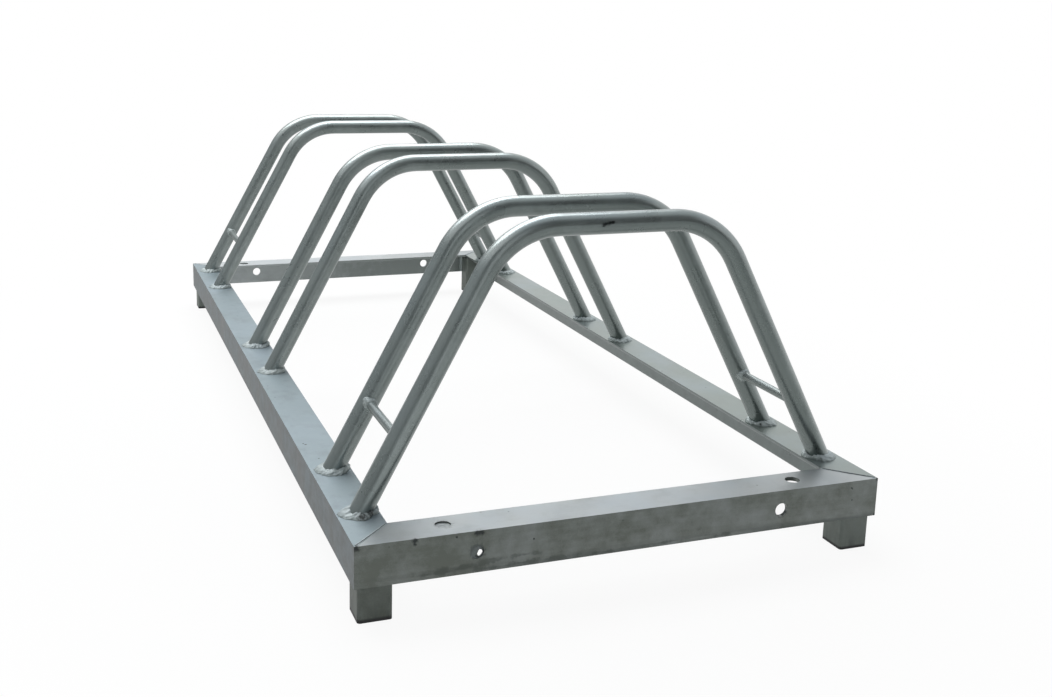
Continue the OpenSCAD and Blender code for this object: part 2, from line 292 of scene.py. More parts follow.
# %% [markdown]
# ## Zinc
# Hot-dip galvanised steel is steel that was dipped in molten zinc. The zinc freezes in faint
# crystals, the spangle, and then dulls to a matt blue grey. Its colour is painted brighter where it
# looks up and darker on the sides: partly a pale bloom that settles on top, partly painted light
# and shade from above. A picture of zinc could be wrapped round the tubes, but it would show its
# seam and repeat. Patterns worked out from the place on the rack have neither. Runs follow the
# length of a piece, so they read a place that is squeezed along it, which draws them out.

# %% Patterns of the zinc
SPANGLE_MM = 10
BEND_MM = 6
# size in mm, detail and roughness. Real grain is too fine to show, so it is drawn at 1.1 mm.
NOISES = {
    "bend": (7, 3.0, 0.6),
    "cloud": (40, 4.0, 0.6),
    "patch": (12, 3.0, 0.6),
    "runs": (3.5, 3.0, 0.55),
    "grain": (1.1, 2.0, 0.7),
    "sheen": (90, 2.0, 0.6),
    "streaks": (9, 4.0, 0.6),
    "fray": (2.5, 2.0, 0.6),
}


def pattern(tree, zinc, name):
    """Adds the named noise to the patterns of a zinc, the first time that it is asked for."""
    if name not in zinc:
        size, detail, roughness = NOISES[name]
        place = zinc["squeezed"] if name in ("runs", "streaks") else zinc["place"]
        zinc[name] = add(tree, "ShaderNodeTexNoise", {
            "Vector": place, "Scale": 1 / (size * MM), "Detail": detail, "Roughness": roughness})
    return zinc[name]


def zinc_places(tree, along):
    """What the patterns read: the place, its coordinates, the place squeezed along the piece, how
    far the surface looks up, and a value for each crystal of the spangle, whose borders are bent."""
    place = add(tree, "ShaderNodeTexCoord").outputs["Object"]
    point = add(tree, "ShaderNodeSeparateXYZ", (place,)).outputs
    normal = add(tree, "ShaderNodeSeparateXYZ", (add(tree, "ShaderNodeNewGeometry").outputs["Normal"],))
    zinc = {
        "place": place,
        "squeezed": add(tree, "ShaderNodeMapping", {"Vector": place, "Scale": along}),
        "across": point["X"],
        "height": point["Z"],
        "upward": normal.outputs["Z"],
    }
    waves = pattern(tree, zinc, "bend").outputs["Color"]
    bend = add(tree, "ShaderNodeVectorMath", {0: waves, "Scale": BEND_MM * MM}, operation="SCALE")
    bent = add(tree, "ShaderNodeVectorMath", (place, bend), operation="ADD")
    spangle = add(tree, "ShaderNodeTexVoronoi", {
        "Vector": bent, "Scale": 1 / (SPANGLE_MM * MM), "Smoothness": 0.6}, feature="SMOOTH_F1")
    zinc["crystal"] = add(tree, "ShaderNodeSeparateColor", (spangle.outputs["Color"],))
    return zinc


print("spangle every", SPANGLE_MM, "mm and noises of", [size for size, _, _ in NOISES.values()], "mm")

# %% [markdown]
# Clean zinc is a tone between a deep and a pale grey. It starts from how far the surface looks
# up, which paints light from above and shade on the sides, partly as bloom, and each pattern
# then moves it a little to both sides. The grey could be picked by hand for every face, but a
# rule gives the bent tubes their painted soft change from lit top to shaded side as well.

# %% Clean zinc
# the values between which most of a noise lies, then how far each pattern moves the tone
NOISE_RANGE = (0.32, 0.68)
CRYSTAL_DEPTH = 0.04
GRAIN_DEPTH = 0.04
CLOUD_DEPTH = 0.24
PATCH_DEPTH = 0.12
SLOPE_REACH = 0.25
PAINTED_BLUE_SHEEN = "#9AA8B4"
SHEEN_RANGE = (0.45, 0.75)
SHEEN_DEPTH = 0.4


def vary(tree, tone, by, low, high, depth):
    """The tone plus a part that goes from -depth to depth as the pattern goes from low to high."""
    part = add(tree, "ShaderNodeMapRange", (by, low, high, -depth, depth))
    return add(tree, "ShaderNodeMath", (tone, part), operation="ADD")


def clean_zinc(tree, zinc, pale, deep, blotch, run, painted_slope, bloom_and_painted_light):
    """Zinc painted pale where it looks up and deep elsewhere, as light from above and a little bloom leave
    it. painted_slope paints light that adds to the tone at the left.
    """
    # painted light and shade: the tone starts pale where the surface looks up and deep on its sides
    tone = add(tree, "ShaderNodeMapRange", (zinc["upward"], *bloom_and_painted_light))
    depths = {"cloud": CLOUD_DEPTH * blotch, "patch": PATCH_DEPTH * blotch, "runs": run, "grain": GRAIN_DEPTH}
    for name, depth in depths.items():
        tone = vary(tree, tone, pattern(tree, zinc, name), *NOISE_RANGE, depth)
    tone = vary(tree, tone, zinc["crystal"], 0.0, 1.0, CRYSTAL_DEPTH)
    # painted light: the tone slopes across the rack, higher by painted_slope at the left end
    tone = vary(tree, tone, zinc["across"], -SLOPE_REACH, SLOPE_REACH, -painted_slope)
    skin = lay(tree, colour(deep), pale, add(tree, "ShaderNodeMapRange", (tone, 0.0, 1.0)))
    # a painted faint blue sheen in wide patches of what looks up
    wide = add(tree, "ShaderNodeMapRange", (pattern(tree, zinc, "sheen"), *SHEEN_RANGE, 0.0, SHEEN_DEPTH))
    upper = add(tree, "ShaderNodeMapRange", (zinc["upward"], 0.1, 0.8))
    return lay(tree, skin, PAINTED_BLUE_SHEEN, wide, upper)


print("blue cast as linear light:", [round(v, 3) for v in colour(PAINTED_BLUE_SHEEN)[:3]])

# %% [markdown]
# Zinc that dripped or pooled leaves dark spots, and the same spots paint shade on hole walls and
# in the pockets by the beads. Each could be a small mesh of its own, but it would stand proud of
# the surface. Here a spot is a ball in space, and it shows where the surface passes through it.

# %% Spots with frayed edges
SPOT_EDGE = (0.5, 1.25)
FRAY_RANGE = (0.3, 0.7)


def spot_mask(tree, place, spots, fray, depth):
    """1 within half the radius of a spot, 0 past 1.25 of it. The pattern frays the edge by depth."""
    nearest = None
    for x, y, z, radius in spots:
        away = add(tree, "ShaderNodeVectorMath", {0: place, 1: (x * MM, y * MM, z * MM)},
                   operation="DISTANCE").outputs["Value"]
        ratio = add(tree, "ShaderNodeMath", (away, radius * MM), operation="DIVIDE")
        if nearest is not None:
            ratio = add(tree, "ShaderNodeMath", (nearest, ratio), operation="MINIMUM")
        nearest = ratio
    frayed = vary(tree, nearest, fray, *FRAY_RANGE, depth)
    return add(tree, "ShaderNodeMapRange", (frayed, *SPOT_EDGE, 1.0, 0.0))


print("a spot of 4 mm is gone at", SPOT_EDGE[1] * 4, "mm")

# %% [markdown]
# Dirt and painted light go on in layers: specks of ash, darkening towards a lower edge, painted
# reflections of the legs on stretches of a flange, smears rubbed along a rail, dark spots, some of
# them painted shade, and black round the open end of a foot. It could all be painted on by hand,
# but layers that read the place need no unwrapped mesh.

# %% Layers of dirt and painted light
ASH_MM = 26
ASH_SPECK = (0.022, 0.05)
STREAK_RANGE = (0.42, 0.62)
MOTTLE = (0.35, 0.55, 0.75, 1.0)
RIM_FADE = (0.6, 1.2)
SMEAR_STRETCH = 8
DIRT_AND_PAINTED_LIGHT = {"ash": "#4A4E4B", "low_darkening": "#3C4341", "painted_reflections": "#636C70", "smear": "#353B37", "spot": "#262B2B",
        "rim": "#121516"}
# how much of the skin each kind of dirt or painted shade hides, and how far its edge is frayed
HIDES = {"ash": 0.7, "low_darkening": 0.6, "smear": 0.45, "spot": 0.95}
FRAYS = {"smear": 0.9, "spot": 0.35}


def lay_dirt_and_painted_light(tree, zinc, skin, low_darkening, painted_reflections, smears, spots, lip):
    """Lays dirt, painted reflections and painted shade over the skin. low_darkening is the (clean,
    darkest_below) heights of a darkening towards the bottom, each painted reflection is (x, half length,
    depth), and lip is the height of the black rim, all but the depth in mm."""
    place = zinc["place"]
    ash = add(tree, "ShaderNodeTexVoronoi", {"Vector": place, "Scale": 1 / (ASH_MM * MM)})
    speck = add(tree, "ShaderNodeMapRange", (ash.outputs["Distance"], *ASH_SPECK, HIDES["ash"], 0.0))
    skin = lay(tree, skin, DIRT_AND_PAINTED_LIGHT["ash"], speck)
    # darker towards the bottom, in streaks
    if low_darkening:
        clean, darkest_below = low_darkening
        low = add(tree, "ShaderNodeMapRange", (zinc["height"], darkest_below * MM, clean * MM, 1.0, 0.0))
        streaks = add(tree, "ShaderNodeMapRange", (pattern(tree, zinc, "streaks"), *STREAK_RANGE))
        skin = lay(tree, skin, DIRT_AND_PAINTED_LIGHT["low_darkening"], low, streaks, HIDES["low_darkening"])
    # painted reflections: dark reflections of the legs in the flange tops, laid on as colour
    for middle, half, depth in painted_reflections:
        off = add(tree, "ShaderNodeMath", (zinc["across"], middle * MM), operation="SUBTRACT")
        off = add(tree, "ShaderNodeMath", (off,), operation="ABSOLUTE")
        near = add(tree, "ShaderNodeMapRange", (off, 0.0, half * MM, depth, 0.0))
        top = add(tree, "ShaderNodeMapRange", (zinc["upward"], 0.2, 0.8))
        mottled = add(tree, "ShaderNodeMapRange", (zinc["cloud"], *MOTTLE))
        skin = lay(tree, skin, DIRT_AND_PAINTED_LIGHT["painted_reflections"], top, near, mottled)
    if smears:
        shrunk = add(tree, "ShaderNodeMapping", {"Vector": place, "Scale": (1 / SMEAR_STRETCH, 1, 1)})
        short = [(x / SMEAR_STRETCH, y, z, radius) for x, y, z, radius in smears]
        smeared = spot_mask(tree, shrunk, short, zinc["patch"], FRAYS["smear"])
        skin = lay(tree, skin, DIRT_AND_PAINTED_LIGHT["smear"], smeared, HIDES["smear"])
    # dark spots: zinc runs, and painted shade on hole walls and in bead pockets
    if spots:
        marked = spot_mask(tree, place, spots, pattern(tree, zinc, "fray"), FRAYS["spot"])
        skin = lay(tree, skin, DIRT_AND_PAINTED_LIGHT["spot"], marked, HIDES["spot"])
    # black towards the bottom end of a foot
    if lip:
        black, bare = (part * lip * MM for part in RIM_FADE)
        rim = add(tree, "ShaderNodeMapRange", (zinc["height"], black, bare, 1.0, 0.0))
        skin = lay(tree, skin, DIRT_AND_PAINTED_LIGHT["rim"], rim)
    return skin


print("ash every", ASH_MM, "mm")

# %% [markdown]
# The material joins the two. A pure metal would mirror the room too sharply, because the oxide
# on old zinc scatters light, so the zinc is part metal and part matt. Its roughness wavers with
# the clouds, and the grain, the runs and the patches raise the surface a little.

# %% The zinc material
RELIEF = 0.4 * MM
GRAIN_RELIEF = 0.4
ROUGH_SPREAD = (-0.05, 0.07)


def galvanised(name, pale, deep, rough, metal, along=(1, 1, 1), bump=0.10, blotch=0.5, run=0.03,
               painted_slope=0.0, bloom_and_painted_light=(-0.15, 0.9), low_darkening=None, painted_reflections=(), smears=(), spots=(), lip=0.0):
    """Galvanised steel. along scales the place for the runs, blotch and run are depths of tone, and
    bloom_and_painted_light is how far the normal points up where the zinc is deep, then pale: painted light
    from above with some bloom. painted_slope paints light across the rack. The rest is dirt, painted
    reflections, painted shade and darkening towards the bottom."""
    material, tree = empty_material(name)
    zinc = zinc_places(tree, along)
    skin = clean_zinc(tree, zinc, pale, deep, blotch, run, painted_slope, bloom_and_painted_light)
    skin = lay_dirt_and_painted_light(tree, zinc, skin, low_darkening, painted_reflections, smears, spots, lip)
    smooth, coarse = (rough + part for part in ROUGH_SPREAD)
    roughness = add(tree, "ShaderNodeMapRange", (zinc["cloud"], 0.3, 0.7, smooth, coarse))
    grain = add(tree, "ShaderNodeMath", (zinc["grain"], GRAIN_RELIEF), operation="MULTIPLY")
    lumps = add(tree, "ShaderNodeMath", (zinc["runs"], zinc["patch"]), operation="ADD")
    height = add(tree, "ShaderNodeMath", (grain, lumps), operation="ADD")
    raised = add(tree, "ShaderNodeBump", {"Strength": bump, "Distance": RELIEF, "Height": height})
    shader = add(tree, "ShaderNodeBsdfPrincipled", {
        "Base Color": skin, "Metallic": metal, "Roughness": roughness, "Normal": raised})
    add(tree, "ShaderNodeOutputMaterial", {"Surface": shader})
    return material


print("relief in mm:", RELIEF / MM)

# %% [markdown]
# ## Marks of this rack
# Dark spots sit where zinc ran off: under the front edge, on the near crown and low on the legs.
# In the bolt holes and in the pockets that a bead left at the feet of the legs, the spots are
# painted shade. Smears lie low on the front face. Each is (x, y, z, radius) in millimetres, and a
# mark on the front face is written without its y.
# A random pattern could scatter them, but people know a piece by where its marks are.

# %% Where the marks are
FRONT_FACE = -615
# painted shade on the walls of the two side holes
SHADED_SIDE_HOLE_WALLS = ((-158.5, -609.5, 55, 7.9), (158.5, -609.5, 55, 7.9))


def on_front(marks):
    """Puts (x, z, radius) marks on the front face."""
    return [(x, FRONT_FACE, z, radius) for x, z, radius in marks]


def trail(start, end, first, last, count):
    """A row of count spots from start to end whose radius goes evenly from first to last."""
    steps = np.linspace(0, 1, count)[:, None]
    points = np.array(start) + steps * (np.array(end) - np.array(start))
    return [tuple(p) + (r,) for p, r in zip(points.tolist(), np.linspace(first, last, count).tolist())]


rail_marks = on_front([
    (-269, 73, 3.2), (-216.5, 73, 2.6), (-216.5, 70, 1.6), (-159, 72.6, 2.6), (-156.5, 72.6, 2.8),
    (-154, 72.8, 2.4), (-177.8, 71.5, 1.2), (-104, 60, 0.9), (240, 68, 0.9), (240.9, 66.9, 0.8),
    (241.5, 55, 0.7), (270.5, 74.5, 2.4), (270.5, 36, 1.8)])
# painted shade on the walls of the top bolt hole and the side holes
rail_marks += [(-184, -593, 69.5, 8.6), *SHADED_SIDE_HOLE_WALLS]
rail_smears = on_front([
    (-196, 39.5, 2.2), (-172, 42, 2.6), (-140, 44.5, 2.4), (-112, 46, 1.8), (-150, 37.5, 2.0),
    (-118, 38.5, 2.4), (-78, 38, 2.0), (-30, 37.5, 1.6), (30, 38, 1.8), (92, 37.5, 1.5)])
side_marks = [(-261.1, -355.5, 75, 1.5), (-262.9, -352.1, 75, 1), (-256.1, -399.5, 75, 0.9)]
hoop_marks = trail((-19, -555.2, 336), (-9, -555, 338), 2.4, 1.6, 7)
hoop_marks += trail((221, -555.5, 118), (242, -556, 81), 1.0, 3.6, 18)
hoop_marks += trail((238, -443.5, 86), (242, -443.5, 78), 1.8, 3.0, 3)
hoop_marks += trail((-238, -553, 92), (-241, -555, 78), 1.2, 3.8, 4)
# painted shade in the pockets where the leg beads meet the flange
bead_pocket_shade = [
    (-250, -561.5, 76.5, 5), (-242.5, -557, 77.5, 5), (239.5, -558.5, 78, 3.4), (240, -444.5, 78, 2.0),
    (-246, -441, 77, 2.0), (-243, -80, 77, 2.6), (244, -68, 78, 2.6)]
print("marks:", len(rail_marks) + len(hoop_marks) + len(bead_pocket_shade))

# %% [markdown]
# One zinc could do for all, but angles, bent tubes and bars come out of the bath with different
# sheens, so each kind of part has its own. The four rails and the front left foot also get lit and
# shaded copies, painted lighter or darker for the light that falls on them. The name of a node tells
# its kind, and the first key below that the name holds is taken. What is left over are the mitre
# seams, which look like beads.

# %% Finishes of the kinds of part
# a small scale along an axis draws the runs out along it
RUNS_ALONG_X = (0.06, 1, 1)
RUNS_ALONG_Y = (1, 0.05, 1)
finish = {
    # thick zinc on beads stays rough and pale; painted_slope paints them a little darker at the left, and the
    # spots paint shade in the pockets by their feet
    "welds": galvanised(
        "galvanised weld bead", "#A9B3B4", "#929B99", rough=0.5, metal=0.15, bump=0.05, painted_slope=-0.1,
        spots=bead_pocket_shade),
    # hot-rolled angle is a half dull mirror with clouds, painted darker on its upright faces as shade
    # the front rail's painted_reflections are the dark reflections of its legs on its flange top
    "front_end_rail": galvanised(
        "galvanised angle, front", "#A6ACAE", "#5B605A", rough=0.34, metal=0.55, along=RUNS_ALONG_X,
        blotch=0.55, painted_slope=-0.04, low_darkening=(45, 35), painted_reflections=((-250, 64, 0.4), (220, 38, 0.3)),
        smears=rail_smears, spots=rail_marks),
    # the back rail is a copy painted lighter against the shade under its flange, and painted_slope paints its
    # left end lighter
    "back_end_rail": galvanised(
        "galvanised angle, back", "#B8BEC0", "#787F7D", rough=0.36, metal=0.55, along=RUNS_ALONG_X,
        painted_slope=0.5),
    "left_side_rail": galvanised(
        "galvanised angle, left", "#86949A", "#4C5152", rough=0.48, metal=0.3, along=RUNS_ALONG_Y,
        blotch=0.8, spots=side_marks),
    "right_side_rail": galvanised(
        "galvanised angle, right", "#88928F", "#6C7372", rough=0.32, metal=0.6, along=RUNS_ALONG_Y,
        blotch=0.7),
    # cold-formed square tube is matt, and darker towards the ground. The front left foot is a copy painted
    # darker as shade
    "front_left_foot": galvanised(
        "galvanised square tube, painted darker", "#8A918F", "#50564F", rough=0.55, metal=0.25, along=(1, 1, 0.1),
        low_darkening=(26, 4), lip=3.8),
    "foot": galvanised(
        "galvanised square tube", "#8A918F", "#626963", rough=0.55, metal=0.25, along=(1, 1, 0.1),
        low_darkening=(20, 0), lip=3.2),
    # smooth bent tube mirrors the most, so the room draws long lines on it
    # painted light: the tubes are painted pale on their upper sides, and painted_slope lightens the left legs
    "hoop": galvanised(
        "galvanised round tube", "#98A09F", "#6C7472", rough=0.28, metal=0.7, along=(0.15, 1, 0.15),
        bump=0.012, run=0.02, blotch=0.6, painted_slope=0.3, bloom_and_painted_light=(-0.17, 0.3), spots=hoop_marks),
    # drawn round bar is nearly as smooth, with hardly a mark
    "stay": galvanised(
        "galvanised round bar", "#8E9695", "#6A7270", rough=0.38, metal=0.6, along=(1, 0.1, 1), bump=0.02),
}
for name, node in nodes.items():
    kind = next((k for k in finish if k in name), "welds")
    node.data.materials.clear()
    node.data.materials.append(finish[kind])
print("finishes:", len(finish))

# %% [markdown]
# ## Meshes from grids
# A torus with a displacement modifier could be lumpy too, but it would be lumpy on all sides, and
# a weld has to fit what it joins. The new pieces are grids of points, worked out as whole arrays,
# that close on themselves. A line that wavers is a sum of cosines with whole numbers of waves,
# so it meets its own start.

# %% Wavering lines and grids
def waver(angle, seed, low, high, count=8):
    """Sum of count cosines cos(n angle + phase), n whole from low to high, with a mean square of 1."""
    rng = np.random.default_rng(seed)
    waves = rng.integers(low, high + 1, count)
    phase = rng.uniform(0, 2 * np.pi, count)
    return np.cos(angle[..., None] * waves + phase).sum(-1) / math.sqrt(count / 2)


def grid_faces(rows, cols, wrap):
    """Quads of a grid that wraps along its columns, and along its rows too when wrap is set."""
    i, j = np.meshgrid(np.arange(rows if wrap else rows - 1), np.arange(cols), indexing="ij")
    below, beside = (i + 1) % rows, (j + 1) % cols
    corners = [i * cols + j, below * cols + j, below * cols + beside, i * cols + beside]
    return np.stack(corners, -1).reshape(-1, 4)


def grid_solid(grid, base, wrap):
    """Faces of one closed grid, with base added to their point numbers. The volumes of the
    tetrahedra between the origin and each face add up to less than 0 when the faces point inwards,
    and the faces are turned then."""
    rows, cols = grid.shape[:2]
    flat = grid.reshape(-1, 3)
    quads = grid_faces(rows, cols, wrap)
    a, b, c, d = (flat[quads[:, k]] for k in range(4))
    inside_out = (np.cross(a, b) * c).sum() + (np.cross(a, c) * d).sum() < 0
    faces = ((quads[:, ::-1] if inside_out else quads) + base).tolist()
    if not wrap:
        first = list(range(base, base + cols))
        last = list(range(base + (rows - 1) * cols, base + rows * cols))
        faces += [first, last[::-1]] if inside_out else [first[::-1], last]
    return faces


print("a grid of 3 x 4 that wraps has", len(grid_faces(3, 4, True)), "quads")

# %% [markdown]
# A new piece is one mesh on the body called root, the only one that a rack has. A new bead takes
# the place of the plain one of the solids, so that the two don't lie inside each other.

# %% A piece from grids
def new_piece(name, grids, materials, stands_for=(), wrap=True, material_index=None):
    """One closed mesh from grids of points, riding on the root body in place of what it stands for."""
    faces = []
    base = 0
    for grid in grids:
        faces += grid_solid(grid, base, wrap)
        base += grid.shape[0] * grid.shape[1]
    mesh = bpy.data.meshes.new(name)
    mesh.from_pydata(np.concatenate([grid.reshape(-1, 3) for grid in grids]).tolist(), [], faces)
    for material in materials:
        mesh.materials.append(material)
    mesh.polygons.foreach_set("use_smooth", [len(f) == 4 for f in faces])
    if material_index is not None:
        index = np.zeros(len(faces), dtype=np.int32)
        index[:len(material_index)] = material_index
        mesh.polygons.foreach_set("material_index", index)
    mesh.update()
    piece = bpy.data.objects.new(name, mesh)
    bpy.context.scene.collection.objects.link(piece)
    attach(piece, "root")
    if stands_for:
        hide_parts(*stands_for)


# %% [markdown]
# ## Lumpy beads
# A bead laid by hand is a rope of frozen ripples. Its width and height waver round the bar,
# and the zinc has rounded it. Each bead below is a grid: one direction runs round the bar, the
# other across the bead and back inside the bar, so the grid closes on itself both ways.

# %% One bead
INSIDE_BAR = 1.2 * MM
ROUNDING = 1.25
BEAD_TURNS = 160
BEAD_STEPS = 14
# ripples every 2.8 mm run aslant across the bead and waver, with lumps among them
RIPPLE = 2.8 * MM
RIPPLE_DEPTH = 0.015
RIPPLE_SLANT = 2.4
RIPPLE_WAVER = 1.5
LUMP_DEPTH = 0.03
LUMP_SLANT = 0.9
LUMP_WAVES = (5, 14)
# waves round the bar, and how far the slow and the quick ones move the width and the height
SLOW_WAVES = (2, 6)
QUICK_WAVES = (9, 22)
WIDTH_WAVES = (0.13, 0.06)
HEIGHT_WAVES = (0.12, 0.06)


def bead_size(angle, size, bumps, seed):
    """Width and height at each angle: size * (1 + slow and quick waves), plus mm * exp(-(off /
    spread) ** 2) for each bump, of which the height gets half. bumps are (degrees, mm, spread)."""
    slow, quick = waver(angle, seed, *SLOW_WAVES), waver(angle, seed + 1, *QUICK_WAVES)
    wide = size[0] * (1 + WIDTH_WAVES[0] * slow + WIDTH_WAVES[1] * quick)
    slow, quick = waver(angle, seed + 2, *SLOW_WAVES), waver(angle, seed + 3, *QUICK_WAVES)
    tall = size[1] * (1 + HEIGHT_WAVES[0] * slow + HEIGHT_WAVES[1] * quick)
    for at, amount, spread in bumps:
        off = np.angle(np.exp(1j * (angle - math.radians(at))))
        near = np.exp(-(off / math.radians(spread)) ** 2)
        wide = wide + amount * MM * near
        tall = tall + 0.5 * amount * MM * near
    return wide, tall


def bead(foot, across, along, out, half_axes, size, lean=0.0, curve=0.0, bumps=(), seed=1,
         turns=BEAD_TURNS, steps=BEAD_STEPS):
    """Grid of a bead round a bar: off the bar by wide * cos(s) ** 1.25, over the plate by tall *
    sin(s) ** 1.25, both times the swell of its ripples and lumps, then two columns of points inside
    the bar. lean moves the bar by lean * height along across, and curve is the radius of a plate
    that is round about the across direction."""
    angle = np.linspace(0, 2 * np.pi, turns, endpoint=False)[:, None]
    s = np.linspace(0, np.pi / 2, steps)[None, :]
    wide, tall = bead_size(angle, size, bumps, seed)
    ripples = round(2 * np.pi * half_axes[0] / RIPPLE)
    phase = ripples * angle + RIPPLE_SLANT * s + RIPPLE_WAVER * waver(angle, seed + 4, 2, 5)
    swell = 1 + RIPPLE_DEPTH * np.cos(phase) * np.sin(2 * s)
    swell = swell + LUMP_DEPTH * waver(angle + LUMP_SLANT * s, seed + 5, *LUMP_WAVES) * np.sin(2 * s)
    off_bar = wide * np.clip(np.cos(s), 0, 1) ** ROUNDING * swell
    off_bar = np.hstack([off_bar, np.full((turns, 2), -INSIDE_BAR)])
    over = np.hstack([tall * np.sin(s) ** ROUNDING * swell, tall, 0 * tall])
    x = (half_axes[0] + off_bar) * np.cos(angle) + lean * over
    y = (half_axes[1] + off_bar) * np.sin(angle)
    if curve:
        fall = curve - np.sqrt(curve ** 2 - np.clip(y, -0.95 * curve, 0.95 * curve) ** 2)
        over = over - fall * np.hstack([np.cos(s) + 0 * angle, 0 * angle, 1 + 0 * angle])
    return foot + x[..., None] * across + y[..., None] * along + over[..., None] * out


print("a bead grid has", BEAD_TURNS * (BEAD_STEPS + 2), "points")

# %% [markdown]
# A leg meets the flange in an ellipse that is wider across the rack by 1 / cos of its lean.
# The bead on the near left leg reached out to the left, and left a pocket on the right. One
# bead could be copied to all twelve feet, but no two welds are alike, so each has its own seed.

# %% Beads at the feet of the legs
LEG_BEAD = (5.4 * MM, 5.0 * MM)
UPWARD = np.array([0, 0, 1.0])
LEG_BUMPS = {
    ("front_outer_hoop", -1): [(20, 2.6, 22), (225, -2.6, 20), (275, 1.2, 18)],
    ("front_outer_hoop", 1): [(215, -2.4, 22), (270, 1.2, 20), (330, 1.5, 25)],
    ("front_inner_hoop", 1): [(220, -2.0, 20), (300, 1.4, 20)],
}


def turned(x, y, degrees):
    """The point or direction (x, y, 0) turned about the upright axis."""
    c, s = math.cos(math.radians(degrees)), math.sin(math.radians(degrees))
    return np.array([c * x - s * y, s * x + c * y, 0.0])


for number, (name, (y, degrees)) in enumerate(HOOPS.items()):
    grids = []
    for side in (-1, 1):
        foot = turned(side * LEG_REACH, 0, degrees) + np.array([0, y, FLANGE_TOP])
        grids.append(bead(foot, turned(side, 0, degrees), turned(0, 1, degrees), UPWARD,
                          (TUBE_RADIUS / math.cos(LEAN), TUBE_RADIUS), LEG_BEAD, lean=-math.tan(LEAN),
                          bumps=LEG_BUMPS.get((name, side), ()), seed=40 * number + 20 * side + 31))
    new_piece(name + "_beads", grids, [finish["welds"]], [name + "_welds"])
print("leg beads:", 2 * len(HOOPS))

# %% [markdown]
# A stay butts against the round side of a leg, so the plate under its bead curves away on
# both sides of the leg. A flat bead would stand off there, so the grid follows that curve at
# its outer edge.

# %% Beads at the ends of the stays
STAY_RADIUS = 4.5 * MM
STAY_HEIGHT = {-1: 68 * MM, 1: 62 * MM}
STAY_BEAD = (2.7 * MM, 3.0 * MM)
STAY_TURNS = 96
PAIRS = {"front": ("front_outer_hoop", "front_inner_hoop"), "back": ("back_inner_hoop", "back_outer_hoop")}


def leg_centre(name, side, height):
    """Centre of a leg at a height over the flange, (reach - height * tan(lean)) from the middle."""
    y, degrees = HOOPS[name]
    spread = LEG_REACH - height * math.tan(LEAN)
    return turned(side * spread, 0, degrees) + np.array([0, y, FLANGE_TOP + height])


for pair, hoops in PAIRS.items():
    for side, word in ((-1, "left"), (1, "right")):
        first, second = (leg_centre(hoop, side, STAY_HEIGHT[side]) for hoop in hoops)
        reach = (second - first) / np.linalg.norm(second - first)
        leg = np.array([-side * math.sin(LEAN), 0, math.cos(LEAN)])
        grids = []
        for end, (centre, out) in enumerate(((first, reach), (second, -reach))):
            along = np.cross(out, leg)
            along = along / np.linalg.norm(along)
            grids.append(bead(centre + out * TUBE_RADIUS, np.cross(along, out), along, out,
                              (STAY_RADIUS, STAY_RADIUS), STAY_BEAD, curve=TUBE_RADIUS,
                              bumps=[(60, 1.4, 35)], seed=300 + 17 * side + 5 * end, turns=STAY_TURNS))
        name = pair + "_" + word + "_stay"
        new_piece(name + "_beads", grids, [finish["welds"]], [name + "_welds"])
print("stay beads:", 4 * len(PAIRS))

# %% [markdown]
# ## Mitre seams
# Each corner is cut at 45 degrees, welded and ground nearly flush. What shows is a low strip
# with a thin dark line along its middle, where the two rails meet. A bump in the material could
# draw it, but only a real strip catches the light along its edges.

# %% Seams on the four mitres
SEAM_ENDS = (3 * MM, 55.6 * MM)
SEAM_RISE = 0.5 * MM
SEAM_SINK = 0.05 * MM
LEAST_LIFT = 0.03 * MM
HALF_SEAM_MM = 1.5
LINE_BOW_MM = 0.45
WAVER_MM = 0.12
LIFT_WAVER = 0.12
GROOVE = (0.42 * MM, 0.4 * MM)
DARK_HALF = {-1: 0.5 * MM, 1: 1.1 * MM}


def seam_grid(side, end, seed, rows=120, cols=34):
    """Sections along the mitre: rise (1 - (u / half) ** 4) less a groove depth exp(-(off / width) ** 2).
    Gives the grid, and for each face of its first sections 1 in the dark line and 0 elsewhere."""
    share = np.linspace(0, 1, rows)[:, None]
    along = SEAM_ENDS[0] + share * (SEAM_ENDS[1] - SEAM_ENDS[0])
    angle = share * 2 * np.pi
    half = MM * (HALF_SEAM_MM + WAVER_MM * waver(angle, seed, 2, 9))
    u = np.linspace(-1, 1, cols)[None, :]
    centre = MM * (LINE_BOW_MM * np.sin(np.pi * share) + WAVER_MM * waver(angle, seed + 1, 2, 8))
    off = u * half
    lift = SEAM_RISE * (1 - u ** 4) * (1 + LIFT_WAVER * waver(angle, seed + 2, 6, 24))
    lift = np.clip(lift - GROOVE[0] * np.exp(-((off - centre) / GROOVE[1]) ** 2), LEAST_LIFT, None)
    corner = np.array([side * HALF_WIDTH, end * HALF_LENGTH])
    inwards = np.array([-side, -end]) / math.sqrt(2)
    sideways = np.array([-side, end]) / math.sqrt(2)
    flat = corner + along[..., None] * inwards + off[..., None] * sideways
    top = np.concatenate([flat, (FLANGE_TOP + lift)[..., None]], -1)
    under = np.concatenate([flat[:, ::-1], np.full((rows, cols, 1), FLANGE_TOP - SEAM_SINK)], -1)
    dark = np.zeros((rows - 1, 2 * cols), dtype=np.int32)
    dark[:, :cols] = (np.abs(off - centre) < DARK_HALF[side])[:-1]
    return np.concatenate([top, under], 1), dark.reshape(-1)


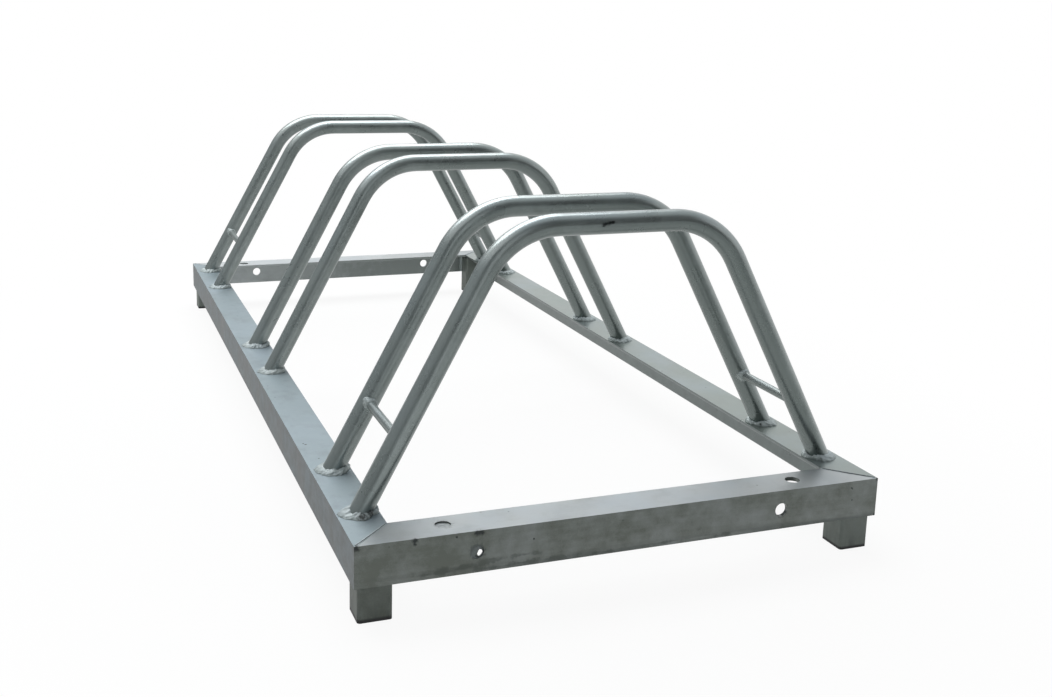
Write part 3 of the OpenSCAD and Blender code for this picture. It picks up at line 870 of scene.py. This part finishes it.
# a ground seam is matt and grey, and the soil in its line takes nearly all light
weld_seam_look = galvanised("ground weld seam", "#97A1A4", "#6A7270", rough=0.5, metal=0.3, bump=0.12)
line_dark = galvanised("soiled mitre line", "#3E4648", "#30383A", rough=0.6, metal=0.2)
for end, end_word in ((-1, "front"), (1, "back")):
    for side, side_word in ((-1, "left"), (1, "right")):
        corner_name = end_word + "_" + side_word
        grid, dark = seam_grid(side, end, 500 + 7 * side + 3 * end)
        new_piece(corner_name + "_seam", [grid], [weld_seam_look, line_dark],
                  [corner_name + "_mitre_seam"], wrap=False, material_index=dark)
print("seams: 4")

# %% [markdown]
# ## Zinc film and a sheet of painted shade
# Molten zinc bridges small holes: the hole above the near left side hole is closed by a film a
# little under the flange. The near left side hole gets a dished sheet with a torn opening on its
# right, painted as the shaded ground seen through the hole. A disc with an opening cut out of it
# could do, but a ring from the wall of the hole to the opening can dish, and its faces stay even.

# %% Skins in two bolt holes
SKIN_THICK = 0.7 * MM
SKIN_DISH = 0.8 * MM
WALL_OVERLAP = 0.15 * MM
TEAR_WAVER = 0.05
TEAR_LIMIT = 0.97
SIDE_HOLE = np.array([-158.5, -613.6, 55]) * MM
TOP_HOLE = np.array([-184, -593, 73.6]) * MM


def skin_grid(centre, across, rise, out, radius, opening, place, turns=72, steps=10):
    """A dished ring from the wall of a hole to a torn opening. opening is (half width, half height) and
    place its centre, both in the plane of the hole. Front and back share their edges, so the grid closes."""
    angle = np.linspace(0, 2 * np.pi, turns, endpoint=False)[:, None]
    rim = np.stack([np.cos(angle), np.sin(angle)], -1) * (radius + WALL_OVERLAP)
    tear = np.stack([opening[0] * np.cos(angle), opening[1] * np.sin(angle)], -1)
    inner = np.array(place) + tear * (1 + TEAR_WAVER * waver(angle, 91, 3, 8))[..., None]
    size = np.linalg.norm(inner, axis=-1, keepdims=True)
    inner = inner * np.minimum(1, TEAR_LIMIT * radius / size)
    k = np.linspace(0, 1, steps)[None, :, None]
    flat = rim * (1 - k) + inner * k
    dish = SKIN_DISH * np.sin(np.pi * k[..., 0]) + 0 * angle
    front = centre + flat[..., :1] * across + flat[..., 1:] * rise - dish[..., None] * out
    back = (front - SKIN_THICK * out)[:, ::-1]
    return np.concatenate([front, back], 1)


X_WAY, Y_WAY = np.array([1.0, 0, 0]), np.array([0, 1.0, 0])
# a thin film of zinc is dull, and painted dark where it dishes away from the light
film_and_shade_sheet = galvanised("zinc film and painted shade sheet", "#A2A8AA", "#525957", rough=0.5, metal=0.3, bump=0.12)
# painted shade: a sheet that stands for the shaded ground seen through the near left side hole
side_shade_sheet = skin_grid(SIDE_HOLE, X_WAY, UPWARD, -Y_WAY, radius=6.75 * MM,
                      opening=(2.5 * MM, 3.5 * MM), place=(3.3 * MM, -2.2 * MM))
top_skin = skin_grid(TOP_HOLE, X_WAY, Y_WAY, UPWARD, radius=7.5 * MM,
                     opening=(0.2 * MM, 0.2 * MM), place=(0.5 * MM, 1.0 * MM))
new_piece("side_hole_shade_sheet", [side_shade_sheet], [film_and_shade_sheet])
new_piece("top_hole_skin", [top_skin], [film_and_shade_sheet])
print("skins: 2")

# %% [markdown]
# ## View transform
# The last step sets the view transform to Standard.

# %% Set the view transform
bpy.context.scene.view_settings.view_transform = "Standard"
